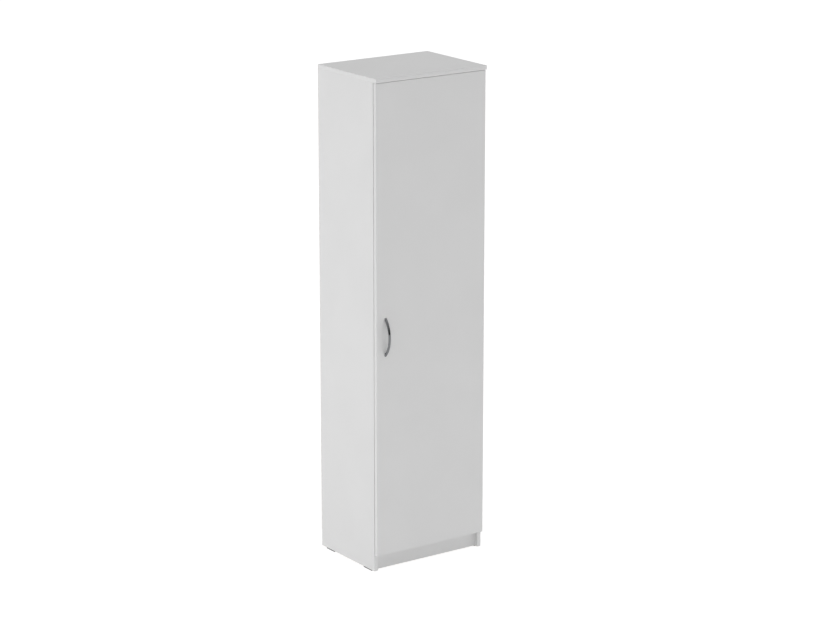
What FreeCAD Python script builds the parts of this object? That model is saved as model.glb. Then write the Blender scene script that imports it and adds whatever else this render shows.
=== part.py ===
"""Broom cupboard: one tall door on three single-pivot cup hinges, 16 mm white-faced chipboard.

Frame: +X to the right of someone facing the door, +Y from the door to the back, +Z up.
The origin is on the floor, under the middle of the box round the whole cupboard. Millimetres.
"""

import FreeCAD, Part
import math
import os
import re
import Sketcher

doc = FreeCAD.newDocument("broom_cupboard")
sheet = doc.addObject("Spreadsheet::Sheet", "sizes")

# ---------------------------------------------------------------- driving dimensions
SIZES = {
    # the cupboard
    "width": 500,  # over the side panels
    "depth": 385,  # front edge of the top to the back of the back sheet
    "height": 1903,
    "board": 16,  # carcass chipboard
    "door_board": 16,
    "back_sheet": 3,  # fibreboard
    "edging": 0.8,  # plastic edge strip
    "plinth_height": 64,
    "plinth_setback": 17,  # behind the front edges of the sides
    "hat_space": 300,  # clear height over the hat shelf
    "shelf_setback": 12,
    "back_margin": 1.5,  # edge of the back sheet inside the outline of the carcass
    # the door
    "free_reveal": 1,  # outer face of the left side to the door's free edge
    "hinge_reveal": 4.5,  # outer face of the right side to the door's other edge
    "door_gap": 2,  # back of the door to the front edges of the sides
    "door_top_gap": 1.5,
    "door_lap": 1,  # door's lower edge above the underside of the bottom panel
    "top_overhang": 1.5,  # front edge of the top in front of the door
    # foot glides
    "glide_high": 5,
    "glide_long": 54,
    "glide_wide": 15,
    "glide_bevel": 1.5,
    "glide_front_inset": 21,
    "glide_back_inset": 31,
    # cam fittings and dowels, in borings of the boards
    "cam_radius": 7.45,
    "cam_high": 12.2,
    "cam_bore_deep": 12.5,
    "cam_reach": 34,  # middle of a cam to the end of its board
    "cam_mouth": 3.8,  # half the width of the opening in a cam's rim
    "bolt_head_radius": 3.2,
    "bolt_head_long": 3.2,
    "bolt_radius": 2.45,
    "bolt_grip": 11,  # length screwed into the face of the other board
    "bolt_bore_radius": 4,
    "bore_lap": 2,  # how far a bolt's boring runs into the cam's
    "dowel_radius": 3.95,
    "dowel_in_end": 20,
    "dowel_in_face": 10,
    "dowel_step": 32,  # cam to dowel
    "play": 0.05,  # radial room of a round piece in its boring
    "end_play": 0.5,  # room past the end of a bolt, dowel or peg
    "fitting_inset": 50,  # first fitting behind the front edges, and before the back edges
    # pegs under the hat shelf
    "peg_radius": 2.45,
    "peg_deep": 9,
    "peg_reach": 8,  # under the shelf
    "peg_wide": 10,
    "peg_thick": 2,
    # corner blocks behind the plinth
    "block_leg": 20,
    "block_wall": 3,
    "block_drop": 30,
    # handle
    "handle_long": 150,
    "handle_reach": 29.5,
    "handle_wide": 10,
    "handle_thick": 4.6,
    "handle_crown": 2.4,  # rise of the outer face over its edges
    "handle_flat": 4.4,  # width of the flat along the middle of the outer face
    "handle_holes": 128,
    "handle_foot_radius": 4,
    "handle_height": 926,
    "handle_inset": 40.5,  # middle of the handle to the door's free edge
    "screw_radius": 2,
    "screw_bite": 5.4,  # depth in the handle's foot
    "screw_head_radius": 3.9,
    "screw_head_high": 2.3,
    "screw_bore_radius": 2.3,  # through the door
    # single-pivot cup hinges
    "hinge_inset": 100,  # middle of the end hinges to the ends of the door
    "cup_edge": 2.8,  # rim of the cup boring to the door's edge
    "cup_bore_radius": 17.5,
    "cup_deep": 13,
    "cup_wall": 0.85,
    "cup_floor": 0.6,
    "cup_block": 8.2,  # length of the solid block that holds the pin
    "cup_slot": 9.2,  # width of the slot in that block
    "slot_wall": 0.95,  # metal between the slot and the rim
    "flange_flank": 13,  # where the flange's ears leave its middle part
    "flange_thick": 1,
    "flange_edge": 3.2,  # cut edge of the flange to the door's edge
    "flange_long": 60,
    "flange_ear": 11,
    "flange_rim": 1.6,
    "pin_edge": 5.8,  # middle of the pin to the door's edge
    "pin_deep": 10.3,  # middle of the pin to the door's back
    "pin_radius": 1,
    "pin_long": 14.6,
    "pin_play": 0.05,  # running room in the arm's eye
    "press_play": 0.01,  # room in the cup's cheeks
    "eye_radius": 1.9,
    "arm_thick": 1.8,
    "arm_wide": 8.6,
    "arm_back": 62,  # end of the arm behind the front edges
    "arm_bend": 2.4,
    "channel_start": 6,
    "channel_wide": 15,
    "channel_wall": 1.4,
    "channel_high": 3.2,
    "slot_start": 41,
    "slot_end": 53,
    "slot_wide": 5,
    "plate_high": 6.3,
    "plate_start": 18,
    "plate_end": 58,
    "plate_ridge": 10.4,
    "wing_thick": 2,
    "wing_place": 37,  # screw line behind the front edges
    "wing_spacing": 32,
    "wing_radius": 7.5,
    "wing_bevel": 4,
    "wing_hole_radius": 2.6,
    # door buffers
    "buffer_side": 9,
    "buffer_high": 1.8,
    "buffer_inset": 8,
    "buffer_end_inset": 60,
}

# ---------------------------------------------------------------- what follows from them
DERIVED = {
    "outer_x": "width / 2",
    "inner_x": "outer_x - board",
    "inner_width": "2 * inner_x",
    "back_y": "(depth - top_overhang + handle_reach) / 2",
    "side_back_y": "back_y - back_sheet",
    "top_front_y": "back_y - depth",
    "door_face_y": "top_front_y + top_overhang",
    "door_back_y": "door_face_y + door_board",
    "side_front_y": "door_back_y + door_gap",
    "side_depth": "side_back_y - side_front_y",
    "plinth_front_y": "side_front_y + plinth_setback",
    "top_under_z": "height - board",
    "bottom_under_z": "glide_high + plinth_height",
    "shelf_top_z": "top_under_z - hat_space",
    "shelf_under_z": "shelf_top_z - board",
    "side_height": "top_under_z - glide_high",
    "door_bottom_z": "bottom_under_z + door_lap",
    "door_top_z": "top_under_z - door_top_gap",
    "door_height": "door_top_z - door_bottom_z",
    "door_width": "width - free_reveal - hinge_reveal",
    "mid_board": "board / 2",
    "fit_front_y": "side_front_y + fitting_inset",
    "fit_back_y": "side_back_y - fitting_inset",
    "cam_bore_radius": "cam_radius + play",
    "face_bore_radius": "bolt_radius + play",
    "dowel_bore_radius": "dowel_radius + play",
    "peg_bore_radius": "peg_radius + play",
    "peg_bore_deep": "peg_deep + end_play",
    "bolt_bore_deep": "cam_reach - cam_radius + bore_lap",
    "face_bolt_deep": "bolt_grip + end_play",
    "face_dowel_deep": "dowel_in_face + end_play",
    "end_dowel_deep": "dowel_in_end + end_play",
    "handle_bow": "(handle_long ^ 2 / 4 + handle_reach ^ 2) / (2 * handle_reach)",
    "handle_x": "-outer_x + free_reveal + handle_inset",
    "hinge_pitch": "(door_height - 2 * hinge_inset) / 2",
    # in a hinge's own frame: u from the side's outer face inwards, v back from its front edge
    "rim_u": "hinge_reveal + cup_edge",
    "cup_u": "rim_u + cup_bore_radius",
    "pin_u": "hinge_reveal + pin_edge",
    "pin_v": "-(door_gap + pin_deep)",
    "arm_u": "board + plate_high",
    "cup_radius": "cup_bore_radius - play",
    "cavity_radius": "cup_radius - cup_wall",
    "cavity_deep": "cup_deep - cup_floor",
    "block_u": "rim_u + cup_block",
    "slot_u": "rim_u + slot_wall",
    "neck_v": "pin_v - eye_radius",
}


def fill_sheet():
    """Writes each size and each derived size in the sheet, with its name as the cell's alias."""
    rows = [(name, str(value)) for name, value in SIZES.items()]
    rows += [(name, "=" + text) for name, text in DERIVED.items()]
    for row, (name, content) in enumerate(rows, 1):
        sheet.set(f"A{row}", name)
        sheet.set(f"B{row}", content)
        sheet.setAlias(f"B{row}", name)
    doc.recompute()


def formula(text):
    """A formula in plain names, as the document reads it: width becomes sizes.width."""
    known = lambda match: "sizes." + match[0] if match[0] in SIZES or match[0] in DERIVED else match[0]
    return re.sub(r"[a-z][a-z_]*", known, str(text))


def value(text):
    """The number that a formula gives now."""
    return float(sheet.evalExpression(formula(text)))


def bind(thing, prop, text):
    thing.setExpression(prop, formula(text))


def place(thing, x, y, z, turn=None):
    """Puts a sub-part in the cupboard, its place bound to the sheet."""
    if turn:
        thing.Placement.Rotation = turn
    for axis, text in zip("xyz", (x, y, z)):
        bind(thing, f"Placement.Base.{axis}", text)


# ---------------------------------------------------------------- drawing on a body's planes
# A level is measured along +X, +Y or +Z from the plane through the body's own origin.
NORMAL = {"XY_Plane": 1, "XZ_Plane": -1, "YZ_Plane": 1}


def new_body(label):
    return doc.addObject("PartDesign::Body", label)


def new_sketch(body, plane, level="0"):
    flat = next(f for f in body.Origin.OriginFeatures if f.Role == plane)
    sketch = body.newObject("Sketcher::SketchObject", body.Name + "_sketch")
    sketch.AttachmentSupport = (flat, [""])
    sketch.MapMode = "FlatFace"
    bind(sketch, "AttachmentOffset.Base.z", f"{NORMAL[plane]} * ({level})")
    return sketch


def pin_point(sketch, shape, end, across, along):
    """Holds one point of a sketch at two formulas from the sketch's origin."""
    for kind, text, axis in (("DistanceX", across, -2), ("DistanceY", along, -1)):
        if str(text) == "0":
            sketch.addConstraint(Sketcher.Constraint("PointOnObject", shape, end, axis))
        else:
            number = sketch.addConstraint(Sketcher.Constraint(kind, -1, 1, shape, end, value(text)))
            sketch.setExpression(f"Constraints[{number}]", formula(text))


def draw_outline(sketch, points):
    """A closed outline of straight lines through points given as pairs of formulas."""
    spots = [FreeCAD.Vector(value(across), value(along), 0) for across, along in points]
    lines = []
    for start, end in zip(spots, spots[1:] + spots[:1]):
        lines.append(sketch.addGeometry(Part.LineSegment(start, end)))
    for line, following in zip(lines, lines[1:] + lines[:1]):
        sketch.addConstraint(Sketcher.Constraint("Coincident", line, 2, following, 1))
    for line, (across, along) in zip(lines, points):
        pin_point(sketch, line, 1, across, along)


def draw_rectangle(sketch, across_low, across_high, along_low, along_high):
    corners = [(across_low, along_low), (across_high, along_low)]
    draw_outline(sketch, corners + [(across_high, along_high), (across_low, along_high)])


def draw_circle(sketch, across, along, radius):
    middle = FreeCAD.Vector(value(across), value(along), 0)
    ring = sketch.addGeometry(Part.Circle(middle, FreeCAD.Vector(0, 0, 1), value(radius)))
    pin_point(sketch, ring, 3, across, along)
    number = sketch.addConstraint(Sketcher.Constraint("Radius", ring, value(radius)))
    sketch.setExpression(f"Constraints[{number}]", formula(radius))


def draw_eight_sided(sketch, across, along, radius):
    """A regular outline of eight sides about a middle point: a hidden round peg or boring."""
    near, far = f"({radius}) * tan(22.5)", f"({radius})"
    signs = ((1, 1, near, far), (-1, 1, near, far), (-1, 1, far, near), (-1, -1, far, near))
    signs += ((-1, -1, near, far), (1, -1, near, far), (1, -1, far, near), (1, 1, far, near))
    draw_outline(sketch, [(f"{across} + {a} * {x}", f"{along} + {b} * {y}") for a, b, x, y in signs])


def draw_arc(sketch, across, along, radius, start, end):
    """An arc with its centre and radius bound, from one angle to another in degrees."""
    middle = FreeCAD.Vector(value(across), value(along), 0)
    circle = Part.Circle(middle, FreeCAD.Vector(0, 0, 1), value(radius))
    arc = sketch.addGeometry(Part.ArcOfCircle(circle, math.radians(start), math.radians(end)))
    pin_point(sketch, arc, 3, across, along)
    number = sketch.addConstraint(Sketcher.Constraint("Radius", arc, value(radius)))
    sketch.setExpression(f"Constraints[{number}]", formula(radius))
    return arc


def draw_segment(sketch, across, along, radius, chord):
    """The part of a disc beyond an upright chord."""
    opening = math.degrees(math.acos((value(chord) - value(across)) / value(radius)))
    arc = draw_arc(sketch, across, along, radius, -opening, opening)
    low, high = sketch.Geometry[arc].StartPoint, sketch.Geometry[arc].EndPoint
    line = sketch.addGeometry(Part.LineSegment(high, low))
    sketch.addConstraint(Sketcher.Constraint("Coincident", line, 1, arc, 2))
    sketch.addConstraint(Sketcher.Constraint("Coincident", line, 2, arc, 1))
    sketch.addConstraint(Sketcher.Constraint("Vertical", line))
    number = sketch.addConstraint(Sketcher.Constraint("DistanceX", -1, 1, line, 1, value(chord)))
    sketch.setExpression(f"Constraints[{number}]", formula(chord))


def draw_strip_section(sketch):
    """The handle's section, flat inside and bevelled outside, and the axis that it is bent round."""
    half, flat = "handle_wide / 2", "handle_flat / 2"
    outside, shoulder, inside = "-handle_reach", "handle_crown - handle_reach", "handle_thick - handle_reach"
    right = [(half, inside), (half, shoulder), (flat, outside)]
    draw_outline(sketch, right + [(f"-({across})", along) for across, along in reversed(right)])
    axis_y = "handle_bow - handle_reach"
    ends = [FreeCAD.Vector(value(across), value(axis_y), 0) for across in ("0", half)]
    axis = sketch.addGeometry(Part.LineSegment(*ends), True)
    pin_point(sketch, axis, 1, "0", axis_y)
    pin_point(sketch, axis, 2, half, axis_y)


# ---------------------------------------------------------------- features
def facing(sketch):
    """1 where the sketch faces along + of its axis, and -1 where it faces along -."""
    return NORMAL[sketch.AttachmentSupport[0][0].Role]


def pad(body, sketch, length, toward=1, middle=False):
    """Adds material towards + or - of the axis that the sketch's plane faces, or to both sides."""
    feature = body.newObject("PartDesign::Pad", body.Name + "_pad")
    feature.Profile = sketch
    feature.Midplane = middle
    feature.Reversed = toward != facing(sketch)
    bind(feature, "Length", length)
    return feature


def cut(body, sketch, depth, toward=1, middle=False):
    """Takes material away towards + or - of the axis that the sketch's plane faces."""
    feature = body.newObject("PartDesign::Pocket", body.Name + "_pocket")
    feature.Profile = sketch
    feature.Midplane = middle
    feature.Reversed = toward == facing(sketch)
    bind(feature, "Length", depth)
    return feature


def bores(body, plane, level, toward, depth, radius, spots, draw=draw_eight_sided):
    """Borings of one size, from a face at one level into the board."""
    sketch = new_sketch(body, plane, level)
    for across, along in spots:
        draw(sketch, across, along, radius)
    return cut(body, sketch, depth, toward)


NEARBY = 0.01  # an edge is at a place when its middle is this close


def dress_edges(body, kind, prop, amount, wanted):
    """Rounds or bevels the edges of the body whose middle point the test picks."""
    doc.recompute()
    tip = body.Tip
    names = []
    for number, edge in enumerate(tip.Shape.Edges, 1):
        middle = edge.valueAt((edge.FirstParameter + edge.LastParameter) / 2)
        if wanted(edge, middle):
            names.append(f"Edge{number}")
    feature = body.newObject(kind, body.Name + "_dressing")
    feature.Base = (tip, names)
    bind(feature, prop, amount)


def group(label, members):
    """Like pieces that share one node: separate solids in one compound."""
    together = doc.addObject("Part::Compound", label)
    together.Links = members
    return together


fill_sheet()

NODES = []  # every sub-part that is written out, in order

# ---------------------------------------------------------------- where the fittings sit
# A fitting's frame: its origin is on the face of the bored board over the cam, +Z out of that
# face, +X towards the joint. The bolt and the dowels lie along X in the middle of the board.
# Cams are round. What lies unseen inside the boards has eight sides, like its boring.
V = FreeCAD.Vector
UP_LEFT = FreeCAD.Rotation(V(1, 0, 1), 180)  # in the left side: +X up, +Z to the right
UP_RIGHT = FreeCAD.Rotation(V(0, 1, 0), -90)  # in the right side: +X up, +Z to the left
UNDER_LEFT = FreeCAD.Rotation(V(0, 1, 0), 180)  # under a board, towards its left end
UNDER_RIGHT = FreeCAD.Rotation(V(1, 0, 0), 180)  # under a board, towards its right end

CAM_FRAMES = []
DOWEL_FRAMES = []
for fit_y, step in (("fit_front_y", "+ dowel_step"), ("fit_back_y", "- dowel_step")):
    for side, up, under in ((-1, UP_LEFT, UNDER_LEFT), (1, UP_RIGHT, UNDER_RIGHT)):
        top_frame = (up, f"{side} * inner_x", "top_under_z - cam_reach")
        bottom_frame = (under, f"{side} * (inner_x - cam_reach)", "bottom_under_z")
        for turn, x, z in (top_frame, bottom_frame):
            CAM_FRAMES.append((turn, x, fit_y, z))
            DOWEL_FRAMES.append((turn, x, f"{fit_y} {step}", z))

# Distances behind the front edges of the sides.
FIT_DEPTHS = ("fitting_inset", "side_depth - fitting_inset")
DOWEL_DEPTHS = ("fitting_inset + dowel_step", "side_depth - fitting_inset - dowel_step")


# ---------------------------------------------------------------- carcass boards
def make_side(side):
    """A side panel: bored for cams and bolts at its top, and for the bottom's bolts and the pegs."""
    body = new_body("side_left" if side < 0 else "side_right")
    outline = new_sketch(body, "YZ_Plane")
    draw_rectangle(outline, "edging", "side_depth", "0", "side_height")
    pad(body, outline, "board")
    inner, inward = ("board", -1) if side < 0 else ("0", 1)

    cams = [(y, "side_height - cam_reach") for y in FIT_DEPTHS]
    bores(body, "YZ_Plane", inner, inward, "cam_bore_deep", "cam_bore_radius", cams, draw_circle)
    bottom_z = "bottom_under_z + mid_board - glide_high"
    bolts = [(y, bottom_z) for y in FIT_DEPTHS]
    bores(body, "YZ_Plane", inner, inward, "face_bolt_deep", "face_bore_radius", bolts)
    dowels = [(y, bottom_z) for y in DOWEL_DEPTHS]
    bores(body, "YZ_Plane", inner, inward, "face_dowel_deep", "dowel_bore_radius", dowels)
    pegs = [(y, "shelf_under_z - peg_radius - glide_high") for y in FIT_DEPTHS]
    bores(body, "YZ_Plane", inner, inward, "peg_bore_deep", "peg_bore_radius", pegs)

    upper_bolts = [("mid_board", y) for y in FIT_DEPTHS]
    bores(body, "XY_Plane", "side_height", -1, "bolt_bore_deep", "bolt_bore_radius", upper_bolts)
    upper_dowels = [("mid_board", y) for y in DOWEL_DEPTHS]
    bores(body, "XY_Plane", "side_height", -1, "end_dowel_deep", "dowel_bore_radius", upper_dowels)
    place(body, "-outer_x" if side < 0 else "inner_x", "side_front_y", "glide_high")
    NODES.append(body)


def make_top():
    """The top panel lies on the sides and reaches over the door."""
    body = new_body("top_panel")
    outline = new_sketch(body, "XY_Plane")
    draw_rectangle(outline, "edging", "width - edging", "edging", "depth - back_sheet")
    pad(body, outline, "board")
    rows = ("mid_board", "width - mid_board")
    bolts = [(x, f"side_front_y - top_front_y + {y}") for x in rows for y in FIT_DEPTHS]
    bores(body, "XY_Plane", "0", 1, "face_bolt_deep", "face_bore_radius", bolts)
    dowels = [(x, f"side_front_y - top_front_y + {y}") for x in rows for y in DOWEL_DEPTHS]
    bores(body, "XY_Plane", "0", 1, "face_dowel_deep", "dowel_bore_radius", dowels)
    place(body, "-outer_x", "top_front_y", "top_under_z")
    NODES.append(body)


def make_shelf(label, level, setback, held_by_cams):
    """A board between the sides, either loose on pegs or with cams under it and bolts in its ends."""
    body = new_body(label)
    outline = new_sketch(body, "XY_Plane")
    draw_rectangle(outline, "0", "inner_width", f"edging + {setback}", "side_depth")
    pad(body, outline, "board")
    if held_by_cams:
        cams = [(x, y) for x in ("cam_reach", "inner_width - cam_reach") for y in FIT_DEPTHS]
        bores(body, "XY_Plane", "0", 1, "cam_bore_deep", "cam_bore_radius", cams, draw_circle)
        bolts = [(y, "mid_board") for y in FIT_DEPTHS]
        dowels = [(y, "mid_board") for y in DOWEL_DEPTHS]
        for end, inward in (("0", 1), ("inner_width", -1)):
            bores(body, "YZ_Plane", end, inward, "bolt_bore_deep", "bolt_bore_radius", bolts)
            bores(body, "YZ_Plane", end, inward, "end_dowel_deep", "dowel_bore_radius", dowels)
    place(body, "-inner_x", "side_front_y", level)
    NODES.append(body)


def make_plinth():
    body = new_body("plinth")
    outline = new_sketch(body, "XZ_Plane")
    draw_rectangle(outline, "0", "inner_width", "0", "plinth_height")
    pad(body, outline, "board")
    place(body, "-inner_x", "plinth_front_y", "glide_high")
    NODES.append(body)


def make_back():
    """The fibreboard back lies on the rear edges of the boards, nailed all round."""
    body = new_body("back_panel")
    outline = new_sketch(body, "XZ_Plane")
    tall = "height - bottom_under_z - 2 * back_margin"
    draw_rectangle(outline, "0", "width - 2 * back_margin", "0", tall)
    pad(body, outline, "back_sheet")
    place(body, "-outer_x + back_margin", "side_back_y", "bottom_under_z + back_margin")
    NODES.append(body)


def strip(label, wide, deep, tall, x, y, z):
    """One straight edge strip."""
    box = doc.addObject("Part::Box", label)
    for prop, text in (("Length", wide), ("Width", deep), ("Height", tall)):
        bind(box, prop, text)
    place(box, x, y, z)
    return box


def make_carcass_edging():
    """Plastic strips on the edges that show: round the top, and along the front of each board."""
    top_y, top_z = "top_front_y", "top_under_z"
    reach = "depth - back_sheet - edging"
    strips = [
        strip("top_front_strip", "width", "edging", "board", "-outer_x", top_y, top_z),
        strip("top_left_strip", "edging", reach, "board", "-outer_x", "top_front_y + edging", top_z),
        strip("top_right_strip", "edging", reach, "board", "outer_x - edging", "top_front_y + edging", top_z),
        strip("left_strip", "board", "edging", "side_height", "-outer_x", "side_front_y", "glide_high"),
        strip("right_strip", "board", "edging", "side_height", "inner_x", "side_front_y", "glide_high"),
        strip("bottom_strip", "inner_width", "edging", "board", "-inner_x", "side_front_y", "bottom_under_z"),
    ]
    shelf_y, shelf_z = "side_front_y + shelf_setback", "shelf_under_z"
    strips.append(strip("shelf_strip", "inner_width", "edging", "board", "-inner_x", shelf_y, shelf_z))
    NODES.append(group("carcass_edging", strips))


def make_glide(side, end):
    """A hard plastic glide under a side panel, its lower edges bevelled to slide."""
    body = new_body(f"glide_{end}_{'left' if side < 0 else 'right'}")
    outline = new_sketch(body, "XY_Plane")
    draw_rectangle(outline, "-glide_wide / 2", "glide_wide / 2", "0", "glide_long")
    pad(body, outline, "glide_high")
    under = lambda edge, middle: abs(middle.z) < NEARBY
    dress_edges(body, "PartDesign::Chamfer", "Size", "glide_bevel", under)
    front = "side_front_y + glide_front_inset"
    back = "side_back_y - glide_back_inset - glide_long"
    place(body, f"{side} * (outer_x - mid_board)", front if end == "front" else back, "0")
    NODES.append(body)


for panel_side in (-1, 1):
    make_side(panel_side)
make_top()
make_shelf("bottom_panel", "bottom_under_z", "0", held_by_cams=True)
make_shelf("hat_shelf", "shelf_under_z", "shelf_setback", held_by_cams=False)
make_plinth()
make_back()
make_carcass_edging()
for panel_side in (-1, 1):
    for glide_end in ("front", "back"):
        make_glide(panel_side, glide_end)


# ---------------------------------------------------------------- fittings
def make_cam():
    """A cam: a short drum, open at its rim for the bolt's head."""
    body = new_body("cam")
    drum = new_sketch(body, "XY_Plane", "-cam_high")
    draw_circle(drum, "0", "0", "cam_radius")
    pad(body, drum, "cam_high")
    mouth = new_sketch(body, "YZ_Plane", "-bolt_head_long")
    draw_rectangle(mouth, "-cam_mouth", "cam_mouth", "-mid_board - cam_mouth", "-mid_board + cam_mouth")
    cut(body, mouth, "bolt_head_long + cam_radius")
    return body


def make_bolt():
    """A cam bolt: its head in the cam, its shank through the joint into the other board."""
    body = new_body("bolt")
    head = new_sketch(body, "YZ_Plane", "-bolt_head_long / 2")
    draw_eight_sided(head, "0", "-mid_board", "bolt_head_radius")
    pad(body, head, "bolt_head_long")
    shank = new_sketch(body, "YZ_Plane")
    draw_eight_sided(shank, "0", "-mid_board", "bolt_radius")
    pad(body, shank, "cam_reach + bolt_grip")
    return body


def make_dowel():
    """A beech dowel, two thirds of it in the end of one board and the rest in the other's face."""
    body = new_body("dowel")
    rod = new_sketch(body, "YZ_Plane", "cam_reach - dowel_in_end")
    draw_eight_sided(rod, "0", "-mid_board", "dowel_radius")
    pad(body, rod, "dowel_in_end + dowel_in_face")
    return body


def make_peg():
    """A shelf peg: a pin in the side, and a small angle that the shelf lies on."""
    body = new_body("peg")
    pin = new_sketch(body, "YZ_Plane", "-peg_deep")
    draw_eight_sided(pin, "0", "-peg_radius", "peg_radius")
    pad(body, pin, "peg_deep")
    plate = new_sketch(body, "YZ_Plane")
    draw_rectangle(plate, "-peg_wide / 2", "peg_wide / 2", "-2 * peg_radius", "0")
    pad(body, plate, "peg_thick")
    tongue = new_sketch(body, "XY_Plane", "-peg_thick")
    draw_rectangle(tongue, "0", "peg_reach", "-peg_wide / 2", "peg_wide / 2")
    pad(body, tongue, "peg_thick")
    return body


def make_block():
    """A moulded corner block that ties the plinth to a side and to the bottom panel."""
    body = new_body("block")
    legs = new_sketch(body, "XY_Plane", "-block_drop")
    ends = [("0", "block_leg"), ("0", "0"), ("block_leg", "0"), ("block_leg", "block_wall")]
    draw_outline(legs, ends + [("block_wall", "block_wall"), ("block_wall", "block_leg")])
    pad(body, legs, "block_drop")
    roof = new_sketch(body, "XY_Plane", "-block_wall")
    draw_outline(roof, ends + [("block_wall", "block_leg")])
    pad(body, roof, "block_wall")
    return body


def make_copies(label, master, frames):
    """Copies of one piece, one at each frame, as a single node."""
    copies = []
    for number, (turn, x, y, z) in enumerate(frames, 1):
        copy = doc.addObject("App::Link", f"{master.Name}_{number}")
        copy.LinkedObject = master
        place(copy, x, y, z, turn)
        copies.append(copy)
    NODES.append(group(label, copies))


HALF_TURN = FreeCAD.Rotation(V(0, 0, 1), 180)
QUARTER_TURN = FreeCAD.Rotation(V(0, 0, 1), 90)
PEG_FRAMES = []
for fit_y in ("fit_front_y", "fit_back_y"):
    PEG_FRAMES.append((None, "-inner_x", fit_y, "shelf_under_z"))
    PEG_FRAMES.append((HALF_TURN, "inner_x", fit_y, "shelf_under_z"))
BLOCK_FRAMES = [
    (None, "-inner_x", "plinth_front_y + board", "bottom_under_z"),
    (QUARTER_TURN, "inner_x", "plinth_front_y + board", "bottom_under_z"),
]
make_copies("cam_locks", make_cam(), CAM_FRAMES)
make_copies("cam_bolts", make_bolt(), CAM_FRAMES)
make_copies("dowels", make_dowel(), DOWEL_FRAMES)
make_copies("shelf_pegs", make_peg(), PEG_FRAMES)
make_copies("plinth_blocks", make_block(), BLOCK_FRAMES)


# ---------------------------------------------------------------- hinges
# A hinge's own frame: +X inwards from the side's outer face, +Y back from its front edge.
# Half a turn about Y puts it on the right-hand side, and a hinge is alike both ways up.
ON_RIGHT = FreeCAD.Rotation(V(0, 1, 0), 180)
HINGE_COUNT = 3
HINGE_HEIGHTS = [f"door_bottom_z + hinge_inset + {n} * hinge_pitch" for n in range(HINGE_COUNT)]


def make_cup(number, height):
    """The cast cup: a drum in the door with a flange, a block for the pin, and a slot for the arm."""
    body = new_body(f"hinge_cup_{number}")
    drum = new_sketch(body, "XZ_Plane", "-door_gap")
    draw_circle(drum, "cup_u", "0", "cup_radius")
    pad(body, drum, "cup_deep", -1)

    flange = new_sketch(body, "XZ_Plane", "-door_gap")
    near, far = "hinge_reveal + flange_edge", "cup_u + cup_radius + flange_rim"
    ear_near, ear_far, tip = "cup_u - flange_ear", "cup_u + flange_ear", "flange_long / 2"
    outline = [(near, "flange_ear"), (ear_near, "flange_flank"), (ear_near, tip)]
    outline += [(ear_far, tip), (ear_far, "flange_flank"), (far, "flange_ear")]
    draw_outline(flange, outline + [(across, f"-({along})") for across, along in reversed(outline)])
    pad(body, flange, "flange_thick")

    mouth = "-door_gap + flange_thick"
    cavity = new_sketch(body, "XZ_Plane", mouth)
    draw_segment(cavity, "cup_u", "0", "cavity_radius", "block_u")
    cut(body, cavity, "cavity_deep + flange_thick", -1)
    slot = new_sketch(body, "XZ_Plane", mouth)
    draw_rectangle(slot, "slot_u", "cup_u", "-cup_slot / 2", "cup_slot / 2")
    cut(body, slot, "cavity_deep + flange_thick", -1)

    seat = new_sketch(body, "XY_Plane")
    draw_circle(seat, "pin_u", "pin_v", "pin_radius + press_play")
    cut(body, seat, "pin_long + 2 * press_play", middle=True)
    place(body, "outer_x", "side_front_y", height, ON_RIGHT)
    NODES.append(body)


def make_arm(number, height):
    """The arm: an eye on the pin, a hooked neck that clears the door's edge, then a channel."""
    body = new_body(f"hinge_arm_{number}")
    outer, inner = "arm_u + arm_thick", "neck_v + arm_thick"
    neck = new_sketch(body, "XY_Plane")
    hook = [("pin_u", "neck_v"), (outer, "neck_v"), (outer, "arm_back"), ("arm_u", "arm_back")]
    draw_outline(neck, hook + [("arm_u", inner), ("pin_u", inner)])
    pad(body, neck, "arm_wide", middle=True)
    for across, along, radius in ((outer, "neck_v", "arm_bend"), ("arm_u", inner, "arm_bend - arm_thick")):
        corner = (value(across), value(along))
        on_corner = lambda edge, middle: math.dist(middle[:2], corner) < NEARBY
        dress_edges(body, "PartDesign::Fillet", "Radius", radius, on_corner)
    eye = new_sketch(body, "XY_Plane")
    draw_circle(eye, "pin_u", "pin_v", "eye_radius")
    pad(body, eye, "arm_wide", middle=True)
    bore = new_sketch(body, "XY_Plane")
    draw_circle(bore, "pin_u", "pin_v", "pin_radius + pin_play")
    cut(body, bore, "arm_wide", middle=True)

    channel = new_sketch(body, "XZ_Plane", "channel_start")
    low, half, web = f"{outer} - channel_high", "channel_wide / 2", "channel_wide / 2 - channel_wall"
    section = [(outer, half), (low, half), (low, web), ("arm_u", web)]
    draw_outline(channel, section + [(across, f"-({along})") for across, along in reversed(section)])
    pad(body, channel, "arm_back - channel_start")
    slot = new_sketch(body, "YZ_Plane", "arm_u")
    draw_rectangle(slot, "slot_start", "slot_end", "-slot_wide / 2", "slot_wide / 2")
    cut(body, slot, "arm_thick")
    place(body, "outer_x", "side_front_y", height, ON_RIGHT)
    NODES.append(body)


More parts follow.
